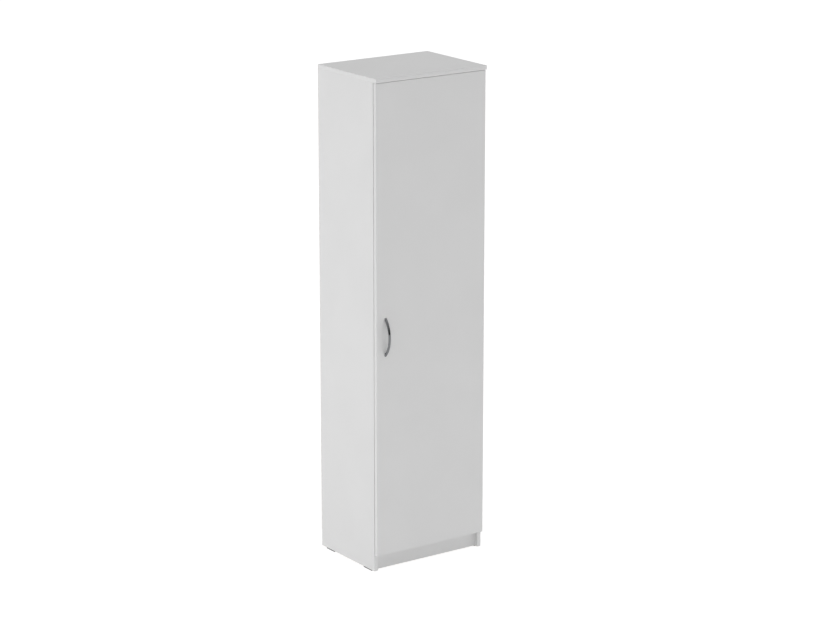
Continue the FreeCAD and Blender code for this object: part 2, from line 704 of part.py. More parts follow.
def make_plate(number, height):
    """The mounting plate on the side panel: a ridge under the arm and two screwed wings."""
    body = new_body(f"hinge_plate_{number}")
    ridge = new_sketch(body, "YZ_Plane", "board")
    draw_rectangle(ridge, "plate_start", "plate_end", "-plate_ridge / 2", "plate_ridge / 2")
    pad(body, ridge, "plate_high")

    wings = new_sketch(body, "YZ_Plane", "board")
    tip, flank = "wing_spacing / 2 + wing_radius", "wing_spacing / 2 + wing_radius - wing_bevel"
    upper = [("wing_place + wing_radius", flank), ("wing_place + wing_radius - wing_bevel", tip)]
    upper += [("wing_place - wing_radius + wing_bevel", tip), ("wing_place - wing_radius", flank)]
    draw_outline(wings, upper + [(across, f"-({along})") for across, along in reversed(upper)])
    pad(body, wings, "wing_thick")
    holes = [("wing_place", "wing_spacing / 2"), ("wing_place", "-wing_spacing / 2")]
    bores(body, "YZ_Plane", "board", 1, "wing_thick", "wing_hole_radius", holes)
    place(body, "outer_x", "side_front_y", height, ON_RIGHT)
    NODES.append(body)


def make_pin():
    body = new_body("pin")
    ring = new_sketch(body, "XY_Plane")
    draw_circle(ring, "pin_u", "pin_v", "pin_radius")
    pad(body, ring, "pin_long", middle=True)
    return body


for hinge_number, hinge_height in enumerate(HINGE_HEIGHTS, 1):
    make_plate(hinge_number, hinge_height)
    make_arm(hinge_number, hinge_height)
    make_cup(hinge_number, hinge_height)
make_copies("hinge_pins", make_pin(), [(ON_RIGHT, "outer_x", "side_front_y", z) for z in HINGE_HEIGHTS])


# ---------------------------------------------------------------- door
HANDLE_SWEEP = 110  # degrees of bow that is turned, more than shows once its ends are cut flat


def make_door():
    """The door leaf, bored for the cups from behind and right through for the handle's screws."""
    body = new_body("door_panel")
    outline = new_sketch(body, "XZ_Plane")
    draw_rectangle(outline, "edging", "door_width - edging", "edging", "door_height - edging")
    pad(body, outline, "door_board")
    cup_x = "door_width - cup_edge - cup_bore_radius"
    cups = [(cup_x, f"{height} - door_bottom_z") for height in HINGE_HEIGHTS]
    bores(body, "XZ_Plane", "door_board", -1, "cup_deep", "cup_bore_radius", cups, draw_circle)
    middle = "handle_height - door_bottom_z"
    screws = [("handle_inset", f"{middle} {end} handle_holes / 2") for end in "+-"]
    bores(body, "XZ_Plane", "0", 1, "door_board", "screw_bore_radius", screws)
    place(body, "-outer_x + free_reveal", "door_face_y", "door_bottom_z")
    NODES.append(body)


def make_door_edging():
    low_x, high_x = "-outer_x + free_reveal", "outer_x - hinge_reveal - edging"
    inside = "door_width - 2 * edging"
    strips = [
        strip("free_strip", "edging", "door_board", "door_height", low_x, "door_face_y", "door_bottom_z"),
        strip("hinge_strip", "edging", "door_board", "door_height", high_x, "door_face_y", "door_bottom_z"),
    ]
    for name, z in (("low_strip", "door_bottom_z"), ("high_strip", "door_top_z - edging")):
        strips.append(strip(name, inside, "door_board", "edging", f"{low_x} + edging", "door_face_y", z))
    NODES.append(group("door_edging", strips))


def make_handle():
    """A bow handle: a bevelled strip bent to an arc, its feet flat on the door over two screws."""
    body = new_body("handle")
    section = new_sketch(body, "XY_Plane")
    draw_strip_section(section)
    turned = body.newObject("PartDesign::Revolution", "handle_bow_turned")
    turned.Profile = section
    turned.ReferenceAxis = (section, ["Axis0"])
    turned.Midplane = True
    turned.Angle = HANDLE_SWEEP
    behind = new_sketch(body, "XZ_Plane")
    draw_rectangle(behind, "-handle_wide", "handle_wide", "-handle_long", "handle_long")
    cut(body, behind, "handle_bow")
    ends = [("0", "handle_holes / 2"), ("0", "-handle_holes / 2")]
    feet = new_sketch(body, "XZ_Plane")
    for across, along in ends:
        draw_circle(feet, across, along, "handle_foot_radius")
    pad(body, feet, "screw_bite", -1).Type = "UpToFirst"
    bores(body, "XZ_Plane", "0", -1, "screw_bite", "screw_radius + play", ends)
    place(body, "handle_x", "door_face_y", "handle_height")
    NODES.append(body)


def make_screw():
    """A pan-head machine screw, from behind the door into the handle's foot."""
    body = new_body("handle_screw")
    shank = new_sketch(body, "XZ_Plane", "-screw_bite + end_play")
    draw_eight_sided(shank, "0", "0", "screw_radius")
    pad(body, shank, "door_board + screw_bite - end_play")
    head = new_sketch(body, "XZ_Plane", "door_board")
    draw_circle(head, "0", "0", "screw_head_radius")
    pad(body, head, "screw_head_high")
    return body


def make_buffers():
    """Two felt pads behind the free edge of the door, against the front of the left side."""
    x = "-outer_x + free_reveal + buffer_inset - buffer_side / 2"
    low_z, high_z = "door_bottom_z + buffer_end_inset", "door_top_z - buffer_end_inset - buffer_side"
    pads = []
    for name, z in (("low_pad", low_z), ("high_pad", high_z)):
        pads.append(strip(name, "buffer_side", "buffer_high", "buffer_side", x, "door_back_y", z))
    NODES.append(group("door_buffers", pads))


make_door()
make_door_edging()
make_handle()
SCREW_FRAMES = [(None, "handle_x", "door_face_y", f"handle_height {end} handle_holes / 2") for end in "+-"]
make_copies("handle_screws", make_screw(), SCREW_FRAMES)
make_buffers()


LEAST_CUT = 0.5  # cubic millimetres that every pocket takes away, at the least


def finish_document():
    doc.recompute()
    for thing in doc.Objects:
        if {"Invalid", "Error"} & set(thing.State):
            raise RuntimeError(f"{thing.Label} failed: {thing.State}")
        if thing.TypeId == "PartDesign::Pocket":
            removed = thing.BaseFeature.Shape.Volume - thing.Shape.Volume
            if removed < LEAST_CUT:
                raise RuntimeError(f"{thing.Label} cuts nothing")


finish_document()
os.makedirs("parts", exist_ok=True)
for node in NODES:
    if node.Shape.isNull() or not node.Shape.isValid():
        raise RuntimeError(f"{node.Label} has no valid shape")
    node.Shape.exportStep(f"parts/{node.Label}.step")
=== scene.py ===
"""Broom cupboard: white melamine boards, plastic edge strips, cup hinges and a chrome bow handle."""

import math

import bmesh
import bpy
from mathutils import Matrix, Vector


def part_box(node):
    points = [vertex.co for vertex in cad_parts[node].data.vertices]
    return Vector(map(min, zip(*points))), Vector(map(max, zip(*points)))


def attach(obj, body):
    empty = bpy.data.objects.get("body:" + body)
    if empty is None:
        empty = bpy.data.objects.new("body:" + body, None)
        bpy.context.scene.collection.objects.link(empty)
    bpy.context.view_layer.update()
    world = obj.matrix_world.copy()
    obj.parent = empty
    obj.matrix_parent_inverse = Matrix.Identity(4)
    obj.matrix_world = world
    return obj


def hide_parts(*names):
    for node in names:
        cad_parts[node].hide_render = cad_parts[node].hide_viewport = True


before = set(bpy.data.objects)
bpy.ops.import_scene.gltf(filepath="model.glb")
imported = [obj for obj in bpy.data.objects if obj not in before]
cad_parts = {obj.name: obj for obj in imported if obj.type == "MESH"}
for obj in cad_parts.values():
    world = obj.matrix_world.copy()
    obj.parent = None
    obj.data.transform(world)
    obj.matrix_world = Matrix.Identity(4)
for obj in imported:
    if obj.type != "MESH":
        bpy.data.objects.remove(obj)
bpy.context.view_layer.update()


# ------------------------------------------------------------------ the studio
# A pale floor that runs out past the view, under a white ceiling that fades towards the walls,
# and one large softbox on the left, so that the left side is the brightest face.
def linear(hex_colour):
    """An sRGB colour such as #E4E5E4 as the linear colour that sockets take."""
    shares = [int(hex_colour[place:place + 2], 16) / 255 for place in (1, 3, 5)]
    return [s / 12.92 if s <= 0.04045 else ((s + 0.055) / 1.055) ** 2.4 for s in shares] + [1.0]


def add_node(tree, kind, settings=None, inputs=None):
    """Adds a shader node; an input is a value, or the output socket that feeds it."""
    node = tree.nodes.new("ShaderNode" + kind)
    for name, setting in (settings or {}).items():
        setattr(node, name, setting)
    for name, given in (inputs or {}).items():
        if isinstance(given, bpy.types.NodeSocket):
            tree.links.new(given, node.inputs[name])
        else:
            node.inputs[name].default_value = given
    return node


def softbox(name, place, aim, wide, tall, watts):
    """A rectangular light that faces a point."""
    lamp = bpy.data.lights.new(name, "AREA")
    lamp.shape = "RECTANGLE"
    lamp.size, lamp.size_y, lamp.energy = wide, tall, watts
    holder = bpy.data.objects.new(name, lamp)
    holder.location = place
    holder.rotation_euler = (Vector(aim) - Vector(place)).to_track_quat("-Z", "Y").to_euler()
    bpy.context.scene.collection.objects.link(holder)


CAMERA_PLACE = (-5.9568, -8.5482, 3.7656)  # metres
CAMERA_AZIMUTH = 34.9872  # degrees to the right of straight ahead, from the front left
CAMERA_DOWN = 15.2712  # degrees
CAMERA_LENS, SENSOR_WIDE = 124.487, 36  # millimetres
camera = bpy.data.objects.new("camera", bpy.data.cameras.new("camera"))
camera.data.lens = CAMERA_LENS
camera.data.sensor_width = SENSOR_WIDE
camera.location = CAMERA_PLACE
camera.rotation_euler = (math.radians(90 - CAMERA_DOWN), 0, math.radians(-CAMERA_AZIMUTH))
bpy.context.scene.collection.objects.link(camera)
bpy.context.scene.camera = camera
bpy.context.scene.view_settings.view_transform = "Standard"

HORIZON, ZENITH = 0.0, 1.17  # how bright the studio's walls and ceiling are
world = bpy.data.worlds.new("studio")
world.use_nodes = True
upward = add_node(
    world.node_tree, "SeparateXYZ",
    inputs={"Vector": add_node(world.node_tree, "TexCoord").outputs["Generated"]},
)
glow = add_node(
    world.node_tree, "MapRange",
    inputs={"Value": upward.outputs["Z"], "To Min": HORIZON, "To Max": ZENITH},
)
background = world.node_tree.nodes["Background"]
background.inputs["Color"].default_value = linear("#FFFFFF")
world.node_tree.links.new(glow.outputs["Result"], background.inputs["Strength"])
bpy.context.scene.world = world

MIDDLE = (0, 0, 0.95)  # of the cupboard
softbox("left_softbox", (-4.4, 1.4, 2.1), MIDDLE, wide=3.0, tall=3.4, watts=34)

FLOOR_RADIUS, WALL_HIGH = 45, 25
STUDIO_SIDES = 64  # of the round floor and wall
TABLE_GLOW, BACKDROP_GLOW, WALL_GLOW = 0.32, 0.94, 1.0
WHITE_PAPER, GREY_PAPER = "#F4F4F4", "#6A6A6A"
PAPER_ROUGH = 0.9
TABLE_DROP = 0.0005  # the lit table lies just under the backdrop


def stage_piece(name, bm, glow, paper_colour):
    """A part of the studio in plain paper, lit from behind."""
    data = bpy.data.meshes.new(name)
    bm.to_mesh(data)
    bm.free()
    paper = bpy.data.materials.new(name + "_paper")
    paper.use_nodes = True
    shader = paper.node_tree.nodes["Principled BSDF"]
    shader.inputs["Base Color"].default_value = linear(paper_colour)
    shader.inputs["Roughness"].default_value = PAPER_ROUGH
    shader.inputs["Emission Color"].default_value = linear("#FFFFFF")
    shader.inputs["Emission Strength"].default_value = glow
    data.materials.append(paper)
    piece = bpy.data.objects.new(name, data)
    bpy.context.scene.collection.objects.link(piece)
    return piece


def only_seen(piece):
    """A background that neither lights nor shades the cupboard."""
    piece.visible_diffuse = piece.visible_glossy = False
    piece.visible_shadow = piece.visible_transmission = False


# The camera doesn't see the table, which only lights the cupboard softly from below. What the
# camera sees is the backdrop just over it, which glows white all over and takes no shadow.
table = bmesh.new()
bmesh.ops.create_circle(
    table, cap_ends=True, segments=STUDIO_SIDES, radius=FLOOR_RADIUS,
    matrix=Matrix.Translation((0, 0, -TABLE_DROP)),
)
stage_piece("studio_table", table, TABLE_GLOW, WHITE_PAPER).visible_camera = False

backdrop = bmesh.new()
bmesh.ops.create_circle(backdrop, cap_ends=True, segments=STUDIO_SIDES, radius=FLOOR_RADIUS)
only_seen(stage_piece("studio_backdrop", backdrop, BACKDROP_GLOW, GREY_PAPER))

wall = bmesh.new()
bmesh.ops.create_cone(
    wall, segments=STUDIO_SIDES, radius1=FLOOR_RADIUS, radius2=FLOOR_RADIUS, depth=WALL_HIGH,
    matrix=Matrix.Translation((0, 0, WALL_HIGH / 2)),
)
only_seen(stage_piece("studio_wall", wall, WALL_GLOW, WHITE_PAPER))


# ------------------------------------------------------------------ carcass boards and door leaf
# 16 mm chipboard with a paper skin under melamine on both faces: hard, white, satin, with a fine
# pearl grain from the press plate. Sawn edges and borings show the bare brown chips.
MM = 0.001  # the frame is in metres
FILM = 0.35 * MM  # skin that stays white along a sawn edge; thicker than real, so that it shows
PEARL = 0.7 * MM  # the press plate's grain
CHIP_LONG, CHIP_THICK = 3.4 * MM, 0.8 * MM  # a coarse chip of the core
BOARD_CLOUD = 220 * MM  # from one faint change of tone to the next
MELAMINE_ROUGH, SAWN_ROUGH = 0.42, 0.92


def new_material(name):
    """A named node material without nodes, its tree, and where a point lies on the object."""
    material = bpy.data.materials.new(name)
    material.use_nodes = True
    material.node_tree.nodes.clear()
    return material, material.node_tree, add_node(material.node_tree, "TexCoord").outputs["Object"]


def ramp(tree, share, *stops):
    """A colour that runs through the stops, each a place from 0 to 1 and a hex colour."""
    node = add_node(tree, "ValToRGB", inputs={"Fac": share})
    band = node.color_ramp.elements
    while len(band) < len(stops):
        band.new(0.5)
    for element, (place, colour) in zip(band, stops):
        element.position = place
        element.color = linear(colour)
    return node.outputs["Color"]


def finish_material(tree, inputs, bump=None, height=0.02 * MM):
    """The surface shader; bump is a height pattern from 0 to 1, and height what 1 stands for."""
    if bump is not None:
        relief = add_node(tree, "Bump", inputs={"Height": bump, "Distance": height, "Strength": 1.0})
        inputs = {**inputs, "Normal": relief.outputs["Normal"]}
    shader = add_node(tree, "BsdfPrincipled", inputs=inputs)
    add_node(tree, "OutputMaterial", inputs={"Surface": shader.outputs["BSDF"]})


def board_material(name, axis, low, high):
    """Melamine on the faces at low and high along one axis, bare chipboard between them."""
    material, tree, place = new_material(name)
    along = add_node(tree, "SeparateXYZ", inputs={"Vector": place}).outputs[axis]
    offset = add_node(tree, "Math", {"operation": "SUBTRACT"}, {0: along, 1: (low + high) / 2})
    from_middle = add_node(tree, "Math", {"operation": "ABSOLUTE"}, {0: offset.outputs[0]})
    is_skin = add_node(
        tree, "Math", {"operation": "GREATER_THAN"},
        {0: from_middle.outputs[0], 1: (high - low) / 2 - FILM},
    )
    skin = is_skin.outputs[0]

    # Raw chipboard looks dull, in flecks of straw and tan that lie flat between the faces. All of
    # them are drawn as large as the coarsest real ones, so that they show.
    chip_size = [CHIP_LONG, CHIP_LONG, CHIP_LONG]
    chip_size["XYZ".index(axis)] = CHIP_THICK
    stretch = [1 / size for size in chip_size]
    flat = add_node(tree, "Mapping", inputs={"Vector": place, "Scale": stretch})
    chips = add_node(tree, "TexVoronoi", inputs={"Vector": flat.outputs[0], "Scale": 1.0})
    tone = add_node(tree, "SeparateColor", inputs={"Color": chips.outputs["Color"]}).outputs["Red"]
    wood = ramp(tree, tone, (0.0, "#A28B68"), (0.4, "#B8A37E"), (0.8, "#C9B693"), (1.0, "#D8C9AB"))

    # Pressed melamine looks a calm, even white with a broad soft sheen and no sharp reflection.
    cloud = add_node(
        tree, "TexNoise", inputs={"Vector": place, "Scale": 1 / BOARD_CLOUD, "Detail": 2.0}
    )
    white = ramp(tree, cloud.outputs["Fac"], (0.35, "#E2E2E2"), (0.65, "#E4E4E4"))
    pearl = add_node(tree, "TexNoise", inputs={"Vector": place, "Scale": 1 / PEARL, "Detail": 1.0})

    # The Mix node's sockets repeat their names: 6 and 7 are its colours, 2 and 3 its numbers.
    colour = add_node(tree, "Mix", {"data_type": "RGBA"}, {0: skin, 6: wood, 7: white})
    relief = add_node(
        tree, "Mix", {"data_type": "FLOAT"},
        {0: skin, 2: chips.outputs["Distance"], 3: pearl.outputs["Fac"]},
    )
    rough = add_node(
        tree, "MapRange", inputs={"Value": skin, "To Min": SAWN_ROUGH, "To Max": MELAMINE_ROUGH}
    )
    finish_material(
        tree,
        {
            "Base Color": colour.outputs[2],
            "Roughness": rough.outputs["Result"],
            "Specular IOR Level": 0.4,
        },
        relief.outputs[0],
    )
    return material


def dress(node, material):
    """Gives a CAD node its material."""
    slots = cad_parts[node].data.materials
    slots.clear()
    slots.append(material)


for board, thin in (
    ("side_left", "X"),
    ("side_right", "X"),
    ("top_panel", "Z"),
    ("bottom_panel", "Z"),
    ("hat_shelf", "Z"),
    ("plinth", "Y"),
    ("door_panel", "Y"),
):
    low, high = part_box(board)
    along = "XYZ".index(thin)
    dress(board, board_material("melamine_" + board, thin, low[along], high[along]))


# ------------------------------------------------------------------ edge strips
# White ABS strip, 0.8 mm thick, glued along every board edge that shows and trimmed with a small
# radius. It is a shade glossier than the boards and meets them in a hairline joint.
STRIP_THICK = 0.8 * MM
STRIP_ARRIS = 0.5 * MM  # its trimmed edges
STRIP_JOINT = 0.12 * MM  # its glued edges, so that the joint is a hairline
STRIP_GRAIN = 1.2 * MM

# Extruded ABS looks as white as the boards, and its rounded edge catches a thin light line. Its
# grain is drawn several times coarser than the real one, so that it shows.
abs_strip, tree, place = new_material("extruded_abs_strip")
grain = add_node(
    tree, "TexNoise", inputs={"Vector": place, "Scale": 1 / STRIP_GRAIN, "Detail": 2.0}
)
tint = ramp(tree, grain.outputs["Fac"], (0.3, "#E2E2E2"), (0.7, "#E4E4E4"))
finish_material(
    tree, {"Base Color": tint, "Roughness": 0.38}, grain.outputs["Fac"], height=0.01 * MM
)


def edges_at(corners):
    """The edges at some corners, each once and always in the same order."""
    return list(dict.fromkeys(edge for vert in corners for edge in vert.link_edges))


def round_edges(bm, edges, radius, steps):
    """Rounds some of a mesh's edges."""
    bmesh.ops.bevel(
        bm, geom=edges, offset=radius, segments=steps, profile=0.5, affect="EDGES",
        clamp_overlap=True, material=-1,
    )


def add_strip(bm, board, facing, longer=(0, 0, 0)):
    """Adds the strip on one side of a board; longer is how far it runs past the board's ends."""
    low, high = (corner.copy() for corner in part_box(board))
    outward = Vector(facing)
    for axis, way in enumerate(facing):
        if way:
            face = high[axis] if way > 0 else low[axis]
            low[axis], high[axis] = sorted((face, face + way * STRIP_THICK))
    low, high = low - Vector(longer), high + Vector(longer)
    middle = (low + high) / 2
    seat = Matrix.Translation(middle) @ Matrix.Diagonal((*(high - low), 1))
    corners = bmesh.ops.create_cube(bm, size=1, matrix=seat)["verts"]
    outside = {vert for vert in corners if (vert.co - middle).dot(outward) > 0}
    edges = edges_at(corners)
    glued = [edge for edge in edges if not outside & set(edge.verts)]
    shown = [edge for edge in edges if outside >= set(edge.verts)]
    round_edges(bm, glued, STRIP_JOINT, steps=1)
    round_edges(bm, shown, STRIP_ARRIS, steps=3)


ROUND_UNDER = 35  # degrees; faces that meet at less than this are shaded as one round surface


def new_piece(name, bm, material, body, slot, *stands_for):
    """Makes a bmesh an object that is smooth but for its sharp edges, and rides on a body."""
    data = bpy.data.meshes.new(name)
    bmesh.ops.triangulate(bm, faces=[face for face in bm.faces if len(face.verts) > 4])
    for face in bm.faces:
        face.smooth = True
    bm.to_mesh(data)
    bm.free()
    data.set_sharp_from_angle(angle=math.radians(ROUND_UNDER))
    data.materials.append(material)
    piece = bpy.data.objects.new(name, data)
    bpy.context.scene.collection.objects.link(piece)
    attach(piece, body)
    if stands_for:
        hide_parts(*stands_for)
    return piece


LEFT, RIGHT, FRONT, UP, DOWN = (-1, 0, 0), (1, 0, 0), (0, -1, 0), (0, 0, 1), (0, 0, -1)
carcass_strips = bmesh.new()
add_strip(carcass_strips, "top_panel", FRONT, longer=(STRIP_THICK, 0, 0))
add_strip(carcass_strips, "top_panel", LEFT)
add_strip(carcass_strips, "top_panel", RIGHT)
for board in ("side_left", "side_right", "bottom_panel", "hat_shelf"):
    add_strip(carcass_strips, board, FRONT)
new_piece("carcass_edge_strips", carcass_strips, abs_strip, "carcass", "edging", "carcass_edging")

door_strips = bmesh.new()
add_strip(door_strips, "door_panel", LEFT, longer=(0, 0, STRIP_THICK))
add_strip(door_strips, "door_panel", RIGHT, longer=(0, 0, STRIP_THICK))
add_strip(door_strips, "door_panel", UP)
add_strip(door_strips, "door_panel", DOWN)
new_piece("door_edge_strips", door_strips, abs_strip, "door", "edging", "door_edging")


# ------------------------------------------------------------------ back sheet and its nails
# 3 mm fibreboard, white lacquer inside and raw brown outside, laid on the rear edges of the
# boards and nailed all round. Each steel nail head has pulled a shallow dimple into the sheet.
LACQUER = 0.2 * MM
FIBRE_LONG, FIBRE_DEEP, FIBRE_HIGH = 1.6 * MM, 1.0 * MM, 1.1 * MM  # along X, Y and Z
SHEET_CLOUD = 160 * MM
FIBRE_SHARE, CLOUD_SHARE, DARKEST = 0.65, 0.25, 0.1  # of the sheet's tone, from dark to pale
NAIL_INSET = 6.5 * MM
NAIL_PITCH = 145 * MM
NAIL_HEAD, NAIL_DOME = 2.2 * MM, 0.45 * MM  # radius and height of a head
NAIL_CROWN = 0.6  # of the head's radius is flat on top
NAIL_WEAR = 1.5 * MM
DIMPLE, DIMPLE_DEEP = 2.6 * MM, 0.5 * MM  # radius and depth of a dimple
NAIL_SIDES = 16

# Fibreboard looks warm and dull behind, of felted fibres in soft clouds, and chalky white where
# it is lacquered. The fibres are drawn far thicker than the real hairs, so that they show.
fibreboard, tree, place = new_material("fibreboard")
back_low, back_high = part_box("back_panel")
depth = add_node(tree, "SeparateXYZ", inputs={"Vector": place}).outputs["Y"]
lacquered = back_low.y + LACQUER
bare = add_node(tree, "Math", {"operation": "GREATER_THAN"}, {0: depth, 1: lacquered}).outputs[0]
stretch = [1 / size for size in (FIBRE_LONG, FIBRE_DEEP, FIBRE_HIGH)]
felted = add_node(tree, "Mapping", inputs={"Vector": place, "Scale": stretch})
fibres = add_node(
    tree, "TexNoise", inputs={"Vector": felted.outputs[0], "Scale": 1.0, "Detail": 4.0}
)
cloud = add_node(
    tree, "TexNoise", inputs={"Vector": place, "Scale": 1 / SHEET_CLOUD, "Detail": 3.0}
)
clouded = add_node(
    tree, "Math", {"operation": "MULTIPLY_ADD"},
    {0: cloud.outputs["Fac"], 1: CLOUD_SHARE, 2: DARKEST},
)
tone = add_node(
    tree, "Math", {"operation": "MULTIPLY_ADD"},
    {0: fibres.outputs["Fac"], 1: FIBRE_SHARE, 2: clouded.outputs[0]},
)
brown = ramp(tree, tone.outputs[0], (0.25, "#6E5238"), (0.55, "#87694A"), (0.85, "#A0825F"))
colour = add_node(tree, "Mix", {"data_type": "RGBA"}, {0: bare, 6: linear("#DEDEDB"), 7: brown})
rough = add_node(tree, "MapRange", inputs={"Value": bare, "To Min": 0.5, "To Max": 0.8})
finish_material(
    tree,
    {"Base Color": colour.outputs[2], "Roughness": rough.outputs["Result"]},
    fibres.outputs["Fac"],
    height=0.04 * MM,
)

# Bright nail steel gives small cold glints, worn dull in patches.
nail_steel, tree, place = new_material("bright_nail_steel")
wear = add_node(tree, "TexNoise", inputs={"Vector": place, "Scale": 1 / NAIL_WEAR, "Detail": 2.0})
rough = add_node(
    tree, "MapRange", inputs={"Value": wear.outputs["Fac"], "To Min": 0.3, "To Max": 0.55}
)
finish_material(
    tree,
    {"Base Color": linear("#B4B6B8"), "Metallic": 1.0, "Roughness": rough.outputs["Result"]},
    wear.outputs["Fac"],
    height=0.02 * MM,
)


def evenly(low, high, pitch):
    """Places from low to high, as near to a pitch apart as a whole number of steps allows."""
    steps = max(1, round((high - low) / pitch))
    return [low + (high - low) * step / steps for step in range(steps + 1)]


def of_kind(items, kind):
    """The corners, edges or faces among what an operator made."""
    return [item for item in items if isinstance(item, kind)]


nail_x = evenly(back_low.x + NAIL_INSET, back_high.x - NAIL_INSET, NAIL_PITCH)
nail_z = evenly(back_low.z + NAIL_INSET, back_high.z - NAIL_INSET, NAIL_PITCH)
shelf_z = sum(corner.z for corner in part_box("hat_shelf")) / 2
nail_spots = [(x, z) for x in (nail_x[0], nail_x[-1]) for z in nail_z]
nail_spots += [(x, z) for x in nail_x[1:-1] for z in (nail_z[0], nail_z[-1], shelf_z)]

# The sheet starts as its rear outline with a ring for each dimple. Every edge line is then drawn
# forward, the outline to the sheet's front face and the rings to the floors of the dimples.
FACING_BACK = Matrix.Rotation(math.radians(-90), 4, "X")
middle, size = (back_low + back_high) / 2, back_high - back_low
sheet, nails = bmesh.new(), bmesh.new()
seat = Matrix.Translation((middle.x, back_high.y, middle.z)) @ FACING_BACK
bmesh.ops.create_grid(
    sheet, x_segments=1, y_segments=1, size=0.5, matrix=seat @ Matrix.Diagonal((size.x, size.z, 1, 1))
)
bmesh.ops.delete(sheet, geom=sheet.faces[:], context="FACES_ONLY")
outline = sheet.edges[:]
rims = []
for x, z in nail_spots:
    seat = Matrix.Translation((x, back_high.y, z)) @ FACING_BACK
    ring = bmesh.ops.create_circle(sheet, segments=NAIL_SIDES, radius=DIMPLE, matrix=seat)["verts"]
    rims.append(edges_at(ring))
    seat = Matrix.Translation((x, back_high.y - DIMPLE_DEEP + NAIL_DOME / 2, z)) @ FACING_BACK
    bmesh.ops.create_cone(
        nails, cap_ends=True, segments=NAIL_SIDES, radius1=NAIL_HEAD,
        radius2=NAIL_HEAD * NAIL_CROWN, depth=NAIL_DOME, matrix=seat,
    )
bmesh.ops.triangle_fill(sheet, use_beauty=True, use_dissolve=False, edges=outline + sum(rims, []))
for edges, sink in ((outline, size.y), *((rim, DIMPLE_DEEP) for rim in rims)):
    grown = bmesh.ops.extrude_edge_only(sheet, edges=edges)["geom"]
    bmesh.ops.translate(sheet, vec=(0, -sink, 0), verts=of_kind(grown, bmesh.types.BMVert))
    bmesh.ops.holes_fill(sheet, edges=of_kind(grown, bmesh.types.BMEdge), sides=0)
bmesh.ops.recalc_face_normals(sheet, faces=sheet.faces)
new_piece("back_sheet", sheet, fibreboard, "carcass", "back_fibreboard", "back_panel")
new_piece("back_nails", nails, nail_steel, "carcass", "plated_steel")


# ------------------------------------------------------------------ glides
# Injection-moulded polyethylene pads under the side panels, dark grey, with a spark-eroded
# matt surface and soft edges.
GLIDE_ARRIS = 0.6 * MM
GLIDE_GRIT = 0.5 * MM

# Moulded polyethylene looks waxy and dull, with no clear highlight. The grit of the mould is
# drawn several times coarser than the real one, so that it shows.
glide_plastic, tree, place = new_material("moulded_polyethylene")
grit = add_node(tree, "TexNoise", inputs={"Vector": place, "Scale": 1 / GLIDE_GRIT, "Detail": 2.0})
tint = ramp(tree, grit.outputs["Fac"], (0.3, "#525354"), (0.7, "#606162"))
finish_material(
    tree, {"Base Color": tint, "Roughness": 0.55}, grit.outputs["Fac"], height=0.03 * MM
)

WELD = 0.001 * MM  # corners nearer than this are one
FLAT_WITHIN = 1  # degrees; faces that meet at less than this are one flat face
ARRIS_OVER = 40  # degrees; faces that meet at more than this have an arris between them


def merged_copy(node):
    """A copy of a CAD node's mesh with its corners joined and its flat faces whole."""
    bm = bmesh.new()
    bm.from_mesh(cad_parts[node].data)
    bmesh.ops.remove_doubles(bm, verts=bm.verts, dist=WELD)
    bmesh.ops.dissolve_limit(
        bm, angle_limit=math.radians(FLAT_WITHIN), verts=bm.verts, edges=bm.edges
    )
    return bm


def round_arrises(bm, radius, steps=2):
    """Rounds every arris of a mesh."""
    arrises = [edge for edge in bm.edges if edge.calc_face_angle(0) > math.radians(ARRIS_OVER)]
    round_edges(bm, arrises, radius, steps)


for end in ("front", "back"):
    for side in ("left", "right"):
        glide = f"glide_{end}_{side}"
        pad = merged_copy(glide)
        round_arrises(pad, GLIDE_ARRIS)
        new_piece(f"glide_pad_{end}_{side}", pad, glide_plastic, "carcass", "glide_plastic", glide)


# ------------------------------------------------------------------ cam fittings and dowels
# Die-cast zinc cams with a cross recess lie flush in borings of the boards. Each draws its joint
# together on a zinc-plated bolt, and turned beech dowels beside them keep the boards in line.
CAM_ARRIS = 0.4 * MM
CAM_DISC = 100 * MM ** 2  # only the ends of a cam are larger
SQUARELY = 0.9  # a face faces a way when more than this of its normal lies along it
CAM_CROSS, CAM_CROSS_THICK = 3.6 * MM, 0.7 * MM  # half the cross, half an arm's width
CAM_CROSS_DEEP = 2.6 * MM
CAST_GRAIN, PLATING_STREAK = 0.8 * MM, 2.0 * MM
BEECH_LONG, BEECH_THIN = 6.0 * MM, 1.0 * MM  # a line of the grain

# Die-cast zinc looks a soft, blotchy grey with a blurred gloss.
cast_zinc, tree, place = new_material("die_cast_zinc")
cast = add_node(tree, "TexNoise", inputs={"Vector": place, "Scale": 1 / CAST_GRAIN, "Detail": 3.0})
tint = ramp(tree, cast.outputs["Fac"], (0.3, "#9B9EA1"), (0.7, "#B3B5B8"))
finish_material(
    tree,
    {"Base Color": tint, "Metallic": 1.0, "Roughness": 0.48},
    cast.outputs["Fac"],
    height=0.03 * MM,
)

# Zinc-plated steel looks bright and a little blue, with faint patches of sharper gloss.
plated_steel, tree, place = new_material("zinc_plated_steel")
streak = add_node(
    tree, "TexNoise", inputs={"Vector": place, "Scale": 1 / PLATING_STREAK, "Detail": 2.0}
)
rough = add_node(
    tree, "MapRange", inputs={"Value": streak.outputs["Fac"], "To Min": 0.22, "To Max": 0.38}
)
finish_material(
    tree,
    {"Base Color": linear("#C4C8CC"), "Metallic": 1.0, "Roughness": rough.outputs["Result"]},
    streak.outputs["Fac"],
    height=0.01 * MM,
)

